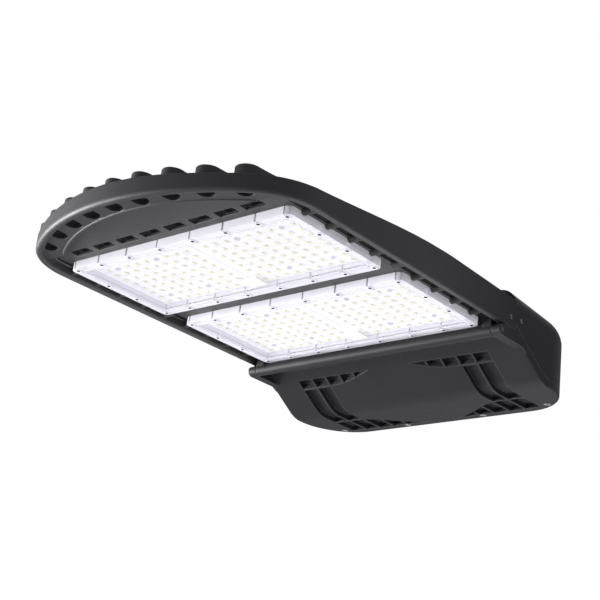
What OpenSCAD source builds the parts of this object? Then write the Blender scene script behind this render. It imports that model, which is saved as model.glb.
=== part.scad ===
// Area and flood light head: one die-cast body with a paddle-shaped finned end that carries two LED
// modules, and a driver compartment behind them that is closed from below by a hinged cast door.
// Millimetres, Z up. The origin is the centre of the rear mounting face, the tip points along -Y and
// the light shines down. Heights named "_z" count from the underside of the heat-sink plate.

/* [Body] */
// Overall width across the side rims
body_w = 336; // [332:1:350]
// Overall length from the rear face to the tip
body_l = 540.5; // [536:0.5:550]
// Radius of the wide arc at the tip, seen from below
tip_r = 252; // [240:1:270]
// Radius that blends the tip arc into the sides
tip_corner_r = 70; // [60:1:76]
// Radius of the two rear corners
rear_corner_r = 58; // [40:1:64]
// Thickness of the heat-sink plate
plate_t = 3; // [2.5:0.1:4]
// Width of the rounded bead along the bottom of the rim
rim_w = 8; // [6:0.5:9]
// Depth of the rim below the plate
rim_drop = 7.3; // [6:0.1:8]
// Thickness of the side, rear and tip walls
wall_t = 4; // [3:0.5:5]
// Height of the rim wall in the middle of the tip
tip_top = 12; // [10:0.5:16]
// Height of the rim wall at the tip's two corners
corner_top = 8.7; // [7:0.1:10]
// Height of the side walls beside the rear module
side_top = 27.5; // [24:0.5:32]
// Height of the side walls where they meet the driver compartment
wall_end_top = 24; // [22:0.5:26]

/* [Air slots and ribs] */
// Distance from one air slot to the next
slot_pitch = 32; // [31:0.5:33]
// Length of one slot of the straight row in front of the first module
row_slot_l = 24; // [18:1:26]
// Width of one slot of the straight row
row_slot_w = 10.5; // [8:0.5:12]
// Width of one slot of the curved row along the tip, round at its inner end
arc_slot_w = 17; // [14:0.5:18]
// Distance from the tip to the centre of those round ends
arc_row_inset = 16.5; // [16:0.1:17.5]
// Radius of the curve on which the centres of the round ends lie
arc_row_r = 265; // [250:1:280]
// Depth of the lowered band that holds the curved row
band_drop = 3; // [2:0.1:4]
// Distance from the tip to the lip of that band
band_inset = 26.8; // [26.5:0.1:29]
// Radius of the lip
band_r = 220; // [210:1:230]
// Width of a rib across the side slots
side_rib_w = 7; // [5:0.5:9]
// Radius of the bead along the lip
lip_r = 1.2; // [0.8:0.1:1.4]

/* [Top fins] */
// Width over one hairpin fin
fin_w = 23; // [22:0.5:24]
// Thickness of the fin's wall
fin_t = 2.4; // [2:0.1:3]
// Height of the fins above the rim at the tip
fin_rise_tip = 9.5; // [7:0.5:12]
// Height of the fins above the side walls at the driver compartment
fin_rise_rear = 11; // [4:0.5:12]

/* [LED modules] */
// Length of a module cover across the body
lens_w = 286; // [280:1:288]
// Width of a module cover along the body
lens_l = 132.9; // [130:0.1:134]
// Depth of a module cover below the plate
lens_h = 8.2; // [7:0.1:10]
// Corner radius of a module cover
lens_corner_r = 6; // [4:0.5:10]
// Thickness of the cover's front
lens_t = 2.7; // [2:0.1:3]
// Width of the cover's flange around the board recess
lens_flange = 10; // [9.5:0.5:12]
// Bare strip of plate between the two covers
module_gap = 27.7; // [26:0.1:30]
// Thickness of an LED board
board_t = 1.6; // [1:0.1:2]
// Side of one LED package
chip_w = 3.2; // [2.5:0.1:3.5]
// Height of one LED package
chip_h = 0.8; // [0.5:0.1:1]
// Distance between LED columns
led_pitch_x = 13.55; // [12.5:0.05:13.6]
// Distance between LED rows
led_pitch_y = 12.16; // [11:0.02:12.2]
// Gap between the LED columns either side of the centre line
led_centre_gap = 24.8; // [22:0.1:26]
// Head diameter of a cover screw
cover_screw_head_d = 6.6; // [6:0.1:7]
// Thread diameter of a cover screw
cover_screw_d = 3.2; // [3:0.1:3.6]

/* [Driver compartment and door] */
// Distance from the rear face to the front edge of the door
door_l = 130.5; // [128:0.5:134]
// Depth of the door's flat rear part below the plate
box_drop = 47.3; // [45:0.1:50]
// Length of the door's flat rear part up to the slope
flat_l = 74; // [71:1:77]
// Height of the compartment's roof at its front wall
roof_front = 39.7; // [36:0.1:42]
// Height of the compartment's roof at the rear face, before its rounding
roof_rear = 30; // [28:0.1:34]
// Rounding of the roof's edges
roof_edge_r = 22; // [16:1:24]
// Slope of the door's front part, in degrees
slope_a = 32.2; // [30:0.1:34]
// Radius between the flat and the slope
bend_r = 35; // [20:1:40]
// Thickness of the door's skin
door_t = 3; // [2.5:0.1:3.5]
// Height of the door's rim up to the seam
door_rim_h = 9; // [8:0.1:11]
// Rounding of the door's bottom edges
door_edge_r = 3; // [2:0.5:4]
// Open seam between door and body
seam = 0.4; // [0.3:0.1:0.8]
// Half width of the recessed pattern in the door
pocket_half_w = 127.5; // [124:0.5:130]
// Depth of the recessed pattern
pocket_d = 5.5; // [3:0.5:6]
// Distance between the thin ribs in the recesses
pocket_rib_pitch = 19.6; // [19:0.1:20.5]
// Thickness of those ribs
pocket_rib_t = 2; // [1.5:0.1:3]
// Half width of the door's smooth centre panel
panel_half_w = 88.4; // [86:0.2:90]
// Depth of the wave in the panel's front edge
front_wave = 14; // [8:1:16]
// Depth of the wave in the panel's rear edge
rear_wave = 33; // [20:1:34]
// Head diameter of a door screw
door_screw_head_d = 8; // [7:0.1:8.4]
// Thread diameter of a door screw
door_screw_d = 4; // [3.5:0.1:4.5]

/* [Hinge] */
// Distance from the rear face to the hinge axis
hinge_y = 153; // [152:0.2:154]
// Depth of the hinge axis below the plate
hinge_drop = 14.5; // [14:0.1:16]
// Outer diameter of the knuckles and of the bar between them
knuckle_d = 12; // [10:0.2:12.4]
// Width of one knuckle
knuckle_w = 10; // [8:0.5:11]
// Side gap between neighbouring knuckles
knuckle_gap = 1; // [0.5:0.1:1.5]
// Diameter of the hinge pins
hinge_pin_d = 5; // [4:0.1:5.5]
// Radial running clearance of a pin in the door's knuckle
pin_clear = 0.05; // [0.02:0.01:0.1]

/* [Rear mounting face] */
// Height of the mounting face's centre below the plate
mount_drop = 14; // [10:0.5:16]
// Distance across between the mounting holes
mount_dx = 76; // [60:1:90]
// Distance up and down between the mounting holes
mount_dz = 30; // [26:1:32]
// Diameter of the mounting holes
mount_hole_d = 8.4; // [6.5:0.1:9]
// Diameter of the wire entry
wire_entry_d = 20; // [16:0.5:22]

/* [Driver] */
// Length of the driver case
driver_w = 200; // [160:1:206]
// Width of the driver case
driver_l = 62; // [50:1:64]
// Height of the driver case
driver_h = 30; // [24:0.5:34]
// Thickness of the sheet tray that carries the driver
tray_t = 1.5; // [1:0.1:2]

/* [Hidden] */
$fn = 48;

half_w = body_w / 2;
metal = [0.09, 0.09, 0.10];
steel = [0.72, 0.72, 0.74];

// Plan outline: tip arc, blend arcs, straight sides and rear corners
tip_cy = -body_l + tip_r;
blend_cx = half_w - tip_corner_r;
blend_cy = tip_cy - sqrt(pow(tip_r - tip_corner_r, 2) - pow(blend_cx, 2));
blend_a = atan2(blend_cx, tip_cy - blend_cy);
tip_steps = 40;
corner_steps = 16;
blend_steps = 12;
roof_steps = 10;
edge_steps = 3;
joint_l = 1.6;
joint_e = 0.04;

// Module places along the body
front_y = -body_l + 90.5;
rear_y = front_y + lens_l + module_gap;
module_pad = 3;

// Places of the curved slots and of the hairpin fins round them
row_i = [-4:4];
slot_reach = 40;
function arc_row_y(x) = -body_l + arc_row_inset + arc_row_r - sqrt(pow(arc_row_r, 2) - pow(x, 2));
box_front_y = -door_l;

// Door path: the slope, the bend and the flat
bend_len = bend_r * tan(slope_a / 2);
slope_len = (door_l - flat_l) / cos(slope_a);
hinge_z = -hinge_drop;
knuckle_out_x = half_w - knuckle_w;
lug_out_x = knuckle_out_x - knuckle_gap;
lug_in_x = lug_out_x - knuckle_w;
arm_gap_z = -rim_drop + 1;
arm_l = 20;
arm_foot_y = -flat_l - (box_drop - hinge_drop - knuckle_d / 2) / tan(slope_a);

// Pocket pattern of the door
pocket_front_y = -door_l + 12.5;
pocket_rear_y = -12;
front_wave_y = pocket_front_y + 10.5;
rear_wave_y = pocket_rear_y - 33;
wave_steps = 20;
cross_rib_t = 1.6;
first_rib_x = 2.5 * pocket_rib_pitch;

// Door screws sit just inside the rear edge, two of them on the rear corners
screw_inset = 7.5;
inner_screw_x = 51.3;
outer_screw_a = 57;
screw_grip = 4;
seat_h = 3;
screw_bore_play = 0.9;
door_screw_places = [
    for (s = [-1, 1]) [s * inner_screw_x, -screw_inset],
    for (s = [-1, 1]) [
        s * (half_w - rear_corner_r + (rear_corner_r - screw_inset) * cos(outer_screw_a)),
        -rear_corner_r + (rear_corner_r - screw_inset) * sin(outer_screw_a)]];

// Cover screws
cover_screw_x = [21.4, 63, 102.5, 136.5];
cover_screw_edge = 5;
cover_screw_y = 19.6;
cover_head_h = 1.8;
cover_shank_end = plate_t - 0.4;
gasket_w = 3;
gasket_t = 1.5;
groove_edge = [0.4, 2.6];
groove_w = 1;
groove_d = 1.2;
board_margin = 1.5;
board_gap = 1;
led_cols = 9;
led_rows = 9;
board_screw_d = 3;
board_head_d = 5.4;
board_head_h = 1.2;
socket_w = 19;
socket_l = 17;
socket_h = 3;

// Driver compartment: the tray hangs from four bosses under the roof
tray_z = 24;
tray_w = 276;
tray_l = 71;
tray_y = -65.5;
tray_lip = 7;
tray_screw_edge = 10;
tray_screw_x = tray_w / 2 - tray_screw_edge;
tray_screw_dy = 29.5;
tray_screw_d = 4;
flange_w = 12;
flange_t = 3;
flange_screw_y = 20;
driver_chamfer = 2;
gland_d = 9;
gland_l = 7;
side_gap = 5;
beside_driver_x = driver_w / 2 + flange_w + side_gap;
surge_w = 20;
surge_l = 36;
surge_h = 26;
surge_lid = 1;
block_w = 20;
block_l = 40;
block_h = 15;
thread_play = 0.1;
pad_t = 4;
pad_w = 112;
pad_h = 43;
duct_d = 7;
duct_w = 14;
duct_z = plate_t + 5;
grommet_flange = 1.5;
earth_x = -78;
earth_d = 5;
bush_flange = 2;

function arc(cx, cy, r, a0, a1, n) =
    [for (i = [0:n]) let (a = a0 + (a1 - a0) * i / n) [cx + r * cos(a), cy + r * sin(a)]];

function smooth(t) = let (u = min(max(t, 0), 1)) u * u * (3 - 2 * u);

// Height of the side wall's top edge at a distance along the body
rise_start = -body_l + 32.5;
rise_end = -255;
fall_start = -245;
wall_end_y = -door_l;
function rise(y) = smooth((y - rise_start) / (rise_end - rise_start));
function top_z(y) = y < rise_start
    ? corner_top + (tip_top - corner_top) * pow((rise_start - y) / (rise_start + body_l), 2)
    : corner_top + (side_top - corner_top) * rise(y)
        - (side_top - wall_end_top) * max(0, y - fall_start) / (wall_end_y - fall_start);
function fin_top_z(y) = top_z(y) + fin_rise_tip + (fin_rise_rear - fin_rise_tip) * rise(y);

// Height of the door's outer surface where it is straight
function slope_z(y) = -box_drop + max(0, -flat_l - y) * tan(slope_a);

// Working frame to mounting frame
module placed() translate([0, 0, mount_drop]) children();

module mirrored() {
    children();
    mirror([1, 0, 0]) children();
}

// Plan outline moved inwards by d
module plan(d = 0) {
    polygon(concat(
        arc(0, tip_cy, tip_r - d, -90 - blend_a, -90 + blend_a, tip_steps),
        arc(blend_cx, blend_cy, tip_corner_r - d, -90 + blend_a, 0, blend_steps),
        arc(half_w - rear_corner_r, -rear_corner_r, rear_corner_r - d, 0, 90, corner_steps),
        arc(-half_w + rear_corner_r, -rear_corner_r, rear_corner_r - d, 90, 180, corner_steps),
        arc(-blend_cx, blend_cy, tip_corner_r - d, 180, 270 - blend_a, blend_steps)));
}

view_floor = -60;

// Side view of the finned end, up to the side walls' top edge or up to the fins
view_y = concat([for (i = [0:3]) -body_l + (rise_start + body_l) * i / 4],
    [for (i = [0:10]) rise_start + (rise_end - rise_start) * i / 10]);
module wall_view() {
    polygon(concat([[-body_l - 1, view_floor], [-body_l - 1, tip_top]],
        [for (y = view_y) [y, top_z(y)]],
        [[fall_start, side_top], [wall_end_y + 1, top_z(wall_end_y + 1)],
            [wall_end_y + 1, view_floor]]));
}

module fin_view() {
    polygon(concat([[-body_l - 1, view_floor], [-body_l - 1, tip_top + fin_rise_tip]],
        [for (y = view_y) [y, fin_top_z(y)]],
        [[fall_start, side_top + fin_rise_rear]],
        [[wall_end_y + 1, fin_top_z(wall_end_y + 1)], [wall_end_y + 1, view_floor]]));
}

// Driver compartment with rounded roof edges, set inwards by d on all sides
function roof_z(y) = roof_front + (roof_rear - roof_front) * (y + door_l) / door_l;
module pillow(d, bottom) {
    cx = half_w - rear_corner_r;
    // Stations round the outline: x, y and the outward direction
    stations = concat(
        [[half_w, -door_l + d, 1, 0]],
        [for (i = [0:corner_steps]) let (a = 90 * i / corner_steps)
            [cx + rear_corner_r * cos(a), -rear_corner_r + rear_corner_r * sin(a), cos(a), sin(a)]],
        [for (i = [0:corner_steps]) let (a = 90 + 90 * i / corner_steps)
            [-cx + rear_corner_r * cos(a), -rear_corner_r + rear_corner_r * sin(a), cos(a), sin(a)]],
        [[-half_w, -door_l + d, -1, 0]]);
    // Section from the bottom up: inset from the outline and drop below the roof
    section = [for (j = [0:roof_steps]) let (a = 90 * j / roof_steps)
        [roof_edge_r - (roof_edge_r - d) * cos(a), roof_edge_r - (roof_edge_r - d) * sin(a)]];
    ring_solid(stations, 0, [for (s = stations) concat(
        [[s[0] - d * s[2], s[1] - d * s[3], bottom]],
        [for (q = section) let (y = s[1] - q[0] * s[3]) [s[0] - q[0] * s[2], y, roof_z(y) - q[1]]])]);
}

module along_x(w) {
    translate([-w / 2, 0, 0]) rotate([90, 0, 90]) linear_extrude(w) children();
}

// Side view of the door's outer surface moved inwards by n: slope, bend and flat
bend_steps = 8;
bend_cy = -flat_l + bend_len;
bend_cz = -box_drop + bend_r;
function door_line(n, ahead, behind) = concat(
    [[-flat_l - (slope_len + ahead) * cos(slope_a) + n * sin(slope_a),
        -box_drop + (slope_len + ahead) * sin(slope_a) + n * cos(slope_a)]],
    [for (i = [0:bend_steps]) let (a = slope_a * (1 - i / bend_steps))
        [bend_cy - (bend_r - n) * sin(a), bend_cz - (bend_r - n) * cos(a)]],
    [[behind, -box_drop + n]]);

// Layer between two distances inside that surface
module door_layer(n0, n1, ahead = 20, behind = 2) {
    lower = door_line(n0, ahead, behind);
    upper = door_line(n1, ahead, behind);
    along_x(body_w + 4)
        polygon(concat(lower, [for (i = [len(upper) - 1:-1:0]) upper[i]]));
}

// Outer form of the door with rounded bottom edges, up to a level top
door_top_z = 4;
function door_z(y) = max(-box_drop, y < bend_cy - bend_r * sin(slope_a)
    ? -box_drop - (y + flat_l) * tan(slope_a)
    : bend_cz - sqrt(max(0, pow(bend_r, 2) - pow(min(y, bend_cy) - bend_cy, 2))));
module door_form() {
    cx = half_w - rear_corner_r;
    side_y = concat([-door_l],
        [for (i = [0:bend_steps]) bend_cy - bend_r * sin(slope_a * (1 - i / bend_steps))]);
    right = [for (y = side_y) [half_w, y, 1, 0]];
    rear = [for (s = [0, 1], i = [0:corner_steps]) let (a = 90 * s + 90 * i / corner_steps)
        [(1 - 2 * s) * cx + rear_corner_r * cos(a), -rear_corner_r + rear_corner_r * sin(a),
            cos(a), sin(a)]];
    left = [for (i = [len(side_y) - 1:-1:0]) [-half_w, side_y[i], -1, 0]];
    section = concat(
        [for (j = [0:edge_steps]) let (a = 90 * j / edge_steps)
            [door_edge_r * (1 - sin(a)), door_edge_r * (1 - cos(a))]]);
    ring_solid(concat(right, rear, left), len(side_y), [for (w = concat(right, rear, left))
        concat([for (q = section) [w[0] - q[0] * w[2], w[1] - q[0] * w[3], door_z(w[1]) + q[1]]],
            [[w[0], w[1], door_top_z]])]);
}

// Solid from rings of points that run round the outline; the first side_n rings on each side are
// joined across the bottom in strips, the rest close the bottom with one flat face
module ring_solid(stations, side_n, rings) {
    last = len(stations) - 1;
    n = len(rings[0]);
    points = [for (r = rings) each r];
    polyhedron(points = points, convexity = 4, faces = concat(
        [for (k = [0:last - 1], j = [0:n - 2]) each [
            [k * n + j, k * n + j + 1, (k + 1) * n + j + 1],
            [k * n + j, (k + 1) * n + j + 1, (k + 1) * n + j]]],
        [for (k = [0:1:side_n - 2]) [k * n, (k + 1) * n, (last - k - 1) * n, (last - k) * n]],
        [[for (k = [last:-1:0]) k * n + n - 1]],
        [[for (k = [max(side_n - 1, 0):last - max(side_n - 1, 0)]) k * n]],
        [concat([for (j = [0:n - 1]) last * n + j], [for (j = [n - 1:-1:0]) j])]));
}

// Rim section: t counts inwards from the outline, e makes it thicker all round
function rim_section(e) = concat(
    [[-e, side_top + 5]],
    arc(rim_w / 2, -rim_drop + rim_w / 2, rim_w / 2 + e, 180, 360, 8),
    [[rim_w + e, plate_t], [wall_t + e, plate_t + 3], [wall_t + e, side_top + 5]]);

module rim_arc(cx, cy, r, a0, a1, fn) {
    translate([cx, cy, 0])
        rotate_extrude(start = a0, angle = a1 - a0, $fn = fn)
            polygon([for (p = rim_section(0)) [r - p[0], p[1]]]);
}

module rim() {
    rim_arc(0, tip_cy, tip_r, -90 - blend_a + 0.03, -90 + blend_a - 0.03, 180);
    mirrored() {
        rim_arc(blend_cx, blend_cy, tip_corner_r, -90 + blend_a + 0.15, 0, 96);
        // Short piece that joins the two arcs
        translate([blend_cx, blend_cy, 0])
            rotate([0, 0, -90 + blend_a])
                rotate([90, 0, 0])
                    translate([0, 0, -joint_l / 2])
                        linear_extrude(joint_l)
                            polygon([for (p = rim_section(joint_e)) [tip_corner_r - p[0], p[1]]]);
        translate([0, box_front_y - arm_l, 0])
            rotate([90, 0, 0])
                linear_extrude(box_front_y - arm_l - blend_cy)
                    polygon([for (p = rim_section(0)) [half_w - p[0], p[1]]]);
    }
}

// Area inside the rim that the plate may cover
module inside_rim(d) {
    intersection() {
        plan(rim_w - d);
        translate([-half_w, -body_l - 1]) square([body_w, body_l + 1 + box_front_y + wall_t]);
    }
}

// Air slots seen from below
slot_field_y = [front_y - 14, front_y + 13.4];
side_slot_out = half_w - rim_w + 0.5;
side_slot_in = lens_w / 2 + module_pad;
side_rib_y = [for (i = [0:8]) front_y + 17 + slot_pitch * i];

module row_slots() {
    for (i = [-3.5:1:3.5])
        translate([slot_pitch * i - row_slot_l / 2, front_y - 8.5 - row_slot_w])
            square([row_slot_l, row_slot_w]);
}

module arc_slots() {
    intersection() {
        plan(rim_w + 0.5);
        for (i = row_i)
            translate([slot_pitch * i, arc_row_y(slot_pitch * i)]) {
                circle(d = arc_slot_w, $fn = 32);
                translate([-arc_slot_w / 2, -slot_reach]) square([arc_slot_w, slot_reach]);
            }
    }
}

module side_slots() {
    last_y = -hinge_y - knuckle_d / 2 - 4;
    mirrored()
        difference() {
            intersection() {
                translate([side_slot_in, slot_field_y[0]])
                    square([side_slot_out - side_slot_in, last_y - slot_field_y[0]]);
                plan(rim_w - 0.5);
            }
            for (y = side_rib_y)
                translate([side_slot_in - 1, y - side_rib_w / 2])
                    square([rim_w * 3, side_rib_w]);
        }
}

// Lowered band along the rim of the tip, up to its lip
band_cy = -body_l + band_inset + band_r;
band_end_y = front_y - 21;
module band_plan() {
    difference() {
        intersection() {
            plan(rim_w - 1);
            translate([-half_w, -body_l - 1]) square([body_w, body_l + 1 + band_end_y]);
        }
        translate([0, band_cy]) circle(band_r, $fn = 180);
    }
}

module plate() {
    difference() {
        union() {
            linear_extrude(plate_t) inside_rim(1);
            translate([0, 0, -band_drop]) linear_extrude(band_drop + plate_t / 2) band_plan();
        }
        translate([0, 0, -band_drop - 1])
            linear_extrude(band_drop + plate_t + 2) {
                row_slots();
                arc_slots();
                side_slots();
            }
    }
    // Ribs across the side slots, rounded underneath
    mirrored()
        for (y = side_rib_y)
            intersection() {
                translate([side_slot_in - 2, y, -side_rib_w / 2 + 3])
                    rotate([0, 90, 0])
                        cylinder(d = side_rib_w, h = half_w - side_slot_in - rim_w / 2, $fn = 24);
                translate([0, y - 10, -6]) cube([half_w, 20, 6 + plate_t / 2]);
            }
    // Bead along the lip of the band
    bead_a = acos((band_cy - band_end_y + 3) / band_r);
    translate([0, band_cy, -band_drop])
        rotate_extrude(start = -90 - bead_a, angle = 2 * bead_a, $fn = 180)
            translate([band_r, 0.3]) circle(lip_r + 0.3, $fn = 16);
}

// Hairpin round one slot of the curved row
module fin(x) {
    back_y = box_front_y + 2;
    nose_y = arc_row_y(x);
    difference() {
        union() {
            translate([x, nose_y]) circle(d = fin_w);
            translate([x - fin_w / 2, nose_y]) square([fin_w, back_y - nose_y]);
        }
        translate([x, nose_y]) circle(d = fin_w - 2 * fin_t);
        translate([x - fin_w / 2 + fin_t, nose_y])
            square([fin_w - 2 * fin_t, back_y - nose_y + 1]);
    }
}

module fins() {
    intersection() {
        translate([0, 0, plate_t - 0.5])
            linear_extrude(side_top + fin_rise_rear)
                for (i = row_i) fin(slot_pitch * i);
        along_x(body_w) fin_view();
    }
}

// Driver compartment: walls and roof, open below
module box_shell() {
    difference() {
        pillow(0, -box_drop);
        pillow(wall_t, -box_drop - 1);
    }
}

// Room of the door and its arms below the body
module door_space() {
    intersection() {
        door_layer(-60, door_rim_h + seam, 60, 2);
        translate([-half_w - 2, box_front_y - seam, -box_drop - 30])
            cube([body_w + 4, door_l + seam + 4, box_drop + 60]);
    }
    translate([-half_w - 1, box_front_y - arm_l - 2, -box_drop])
        cube([body_w + 2, arm_l + 2 - seam, box_drop + arm_gap_z]);
}

// Side walls between the rim and the compartment, over the door's hinge arms
module arm_walls() {
    intersection() {
        translate([0, box_front_y - arm_l - 1, -rim_drop])
            linear_extrude(side_top + rim_drop)
                difference() {
                    translate([-half_w, 0]) square([body_w, arm_l + 2]);
                    translate([-half_w + wall_t, -1])
                        square([body_w - 2 * wall_t, arm_l + 4]);
                }
        along_x(body_w + 2) wall_view();
    }
}

module hinge_bar() {
    bar_r = knuckle_d / 2;
    translate([-lug_out_x, -hinge_y, hinge_z])
        rotate([0, 90, 0]) cylinder(r = bar_r, h = 2 * lug_out_x);
    translate([-lug_in_x, -hinge_y - 2, hinge_z]) cube([2 * lug_in_x, 4, hinge_drop + plate_t / 2]);
    mirrored()
        translate([lug_in_x, -hinge_y - bar_r + 1, hinge_z])
            cube([knuckle_w, knuckle_d - 2, hinge_drop + plate_t / 2]);
}

// Bosses that take the door's screws, grown out of the walls
module box_bosses() {
    intersection() {
        for (p = door_screw_places)
            translate([p[0], p[1], -box_drop + door_rim_h - 1])
                cylinder(d = door_screw_d + 7, h = screw_grip + 7);
        translate([0, 0, -box_drop]) linear_extrude(box_drop) plan(wall_t / 2);
    }
}

module cover_screw_grid() {
    for (sx = [-1, 1], sy = [-1, 1], x = cover_screw_x)
        translate([sx * x, lens_l / 2 + sy * (lens_l / 2 - cover_screw_edge), 0]) children();
    for (sx = [-1, 1], sy = [-1, 1])
        translate([sx * (lens_w / 2 - cover_screw_edge), lens_l / 2 + sy * cover_screw_y, 0])
            children();
}

module board_screw_grid() {
    for (sx = [-1, 1], i = [3, 7], j = [1, 7])
        translate([sx * (led_centre_gap / 2 + i * led_pitch_x),
            lens_l / 2 + (j - 4) * led_pitch_y, 0]) children();
}

side_screw_places = [[box_front_y - 7.9, 4.3], [box_front_y + 11.1, 5.8]];
side_screw_d = 5;
side_screw_socket = 3;

module mount_holes(d, h) {
    for (sx = [-1, 1], sz = [-1, 1])
        translate([sx * mount_dx / 2, 1, -mount_drop + sz * mount_dz / 2])
            rotate([90, 0, 0]) cylinder(d = d, h = h);
}

// Cast bosses and the thicker pad inside the compartment
tray_screw_places = [for (sx = [-1, 1], sy = [-1, 1])
    [sx * tray_screw_x, tray_y + sy * tray_screw_dy]];

module inner_bosses() {
    for (p = tray_screw_places)
        translate([p[0], p[1], tray_z])
            cylinder(d = tray_screw_d + 6, h = roof_z(p[1]) - tray_z - wall_t / 2, $fn = 32);
    translate([-pad_w / 2, -wall_t - pad_t, -mount_drop - pad_h / 2])
        cube([pad_w, pad_t + wall_t / 2, pad_h]);
    translate([earth_x, -wall_t - pad_t, -mount_drop])
        rotate([-90, 0, 0]) cylinder(d = earth_d + 7, h = pad_t + wall_t / 2);
}

module side_bosses() {
    mirrored()
        for (q = side_screw_places)
            translate([half_w - wall_t - 9, q[0], q[1]]) rotate([0, 90, 0])
                cylinder(d = side_screw_d + 5, h = 9 + wall_t / 2, $fn = 32);
}

// Ridge between the two middle fins that covers the leads of the LED boards
socket_y = lens_l - lens_flange - board_margin - socket_l / 2;
module lead_duct() {
    start_y = front_y + socket_y - duct_d;
    translate([-duct_w / 2, start_y, plate_t / 2])
        cube([duct_w, box_front_y + wall_t / 2 - start_y, duct_z + duct_d / 2 + 2 - plate_t / 2]);
}

module lead_passage() {
    end_y = box_front_y + wall_t + 1;
    translate([0, end_y, duct_z]) rotate([90, 0, 0])
        cylinder(d = duct_d, h = end_y - front_y - socket_y, $fn = 32);
    for (y = [front_y, rear_y])
        translate([0, y + socket_y, -1]) cylinder(d = duct_d - 1, h = duct_z + 1, $fn = 32);
}

module housing() {
    placed() color(metal) {
        difference() {
            union() {
                intersection() {
                    rim();
                    along_x(body_w + 2) wall_view();
                }
                plate();
                fins();
                lead_duct();
                side_bosses();
                difference() {
                    union() {
                        box_shell();
                        arm_walls();
                        box_bosses();
                        inner_bosses();
                    }
                    door_space();
                }
                hinge_bar();
            }
            for (y = [front_y, rear_y])
                translate([0, y, -1]) {
                    cover_screw_grid()
                        cylinder(d = cover_screw_d + thread_play, h = plate_t + 2, $fn = 24);
                    board_screw_grid()
                        cylinder(d = board_screw_d + thread_play, h = plate_t + 2, $fn = 24);
                }
            lead_passage();
            mount_holes(mount_hole_d, wall_t + pad_t + 2);
            translate([0, 1, -mount_drop]) rotate([90, 0, 0])
                cylinder(d = wire_entry_d, h = wall_t + pad_t + 2);
            translate([earth_x, -wall_t - pad_t - 1, -mount_drop]) rotate([-90, 0, 0])
                cylinder(d = earth_d + thread_play, h = pad_t + 2);
            for (p = tray_screw_places)
                translate([p[0], p[1], tray_z - 1])
                    cylinder(d = tray_screw_d + thread_play, h = 7, $fn = 24);
            mirrored() {
                translate([lug_in_x + 2, -hinge_y, hinge_z]) rotate([0, 90, 0])
                    cylinder(d = hinge_pin_d, h = knuckle_w);
                for (q = side_screw_places)
                    translate([half_w - wall_t - 8, q[0], q[1]]) rotate([0, 90, 0])
                        cylinder(d = side_screw_d + thread_play, h = wall_t + 9, $fn = 24);
            }
            for (p = door_screw_places)
                translate([p[0], p[1], -box_drop + door_rim_h])
                    cylinder(d = door_screw_d + 2 * screw_bore_play, h = seam + screw_grip + 1);
        }
    }
}

// Waves of the door's centre panel
function front_wave_at(x) = abs(x) < 80
    ? front_wave_y - front_wave / 2 - front_wave / 2 * cos(180 * abs(x) / 80) : front_wave_y;
function rear_wave_at(x) = abs(x) < 16 ? rear_wave_y + rear_wave : abs(x) < 96
    ? rear_wave_y + rear_wave / 2 + rear_wave / 2 * cos(180 * (abs(x) - 16) / 80) : rear_wave_y;

module centre_panel() {
    w = pocket_half_w + 1;
    polygon(concat(
        [for (i = [0:2 * wave_steps]) let (x = -w + w * i / wave_steps) [x, front_wave_at(x)]],
        [for (i = [0:2 * wave_steps]) let (x = w - w * i / wave_steps) [x, rear_wave_at(x)]]));
}

module pockets() {
    rib_x = [for (i = [0:3]) first_rib_x + i * pocket_rib_pitch];
    difference() {
        translate([-pocket_half_w, pocket_front_y])
            square([2 * pocket_half_w, pocket_rear_y - pocket_front_y]);
        intersection() {
            centre_panel();
            translate([-panel_half_w, -door_l]) square([2 * panel_half_w, door_l]);
        }
        // Cross ribs carry the waves out to the sides
        difference() {
            centre_panel();
            translate([-pocket_half_w - 2, front_wave_y + cross_rib_t])
                square([2 * pocket_half_w + 4, rear_wave_y - front_wave_y - 2 * cross_rib_t]);
        }
        mirrored()
            for (x = rib_x)
                translate([x - pocket_rib_t / 2, -door_l]) square([pocket_rib_t, door_l]);
    }
}

module door_plan(d = 0) {
    intersection() {
        plan(d);
        translate([-half_w, -door_l + d]) square([body_w, door_l]);
    }
}

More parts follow.
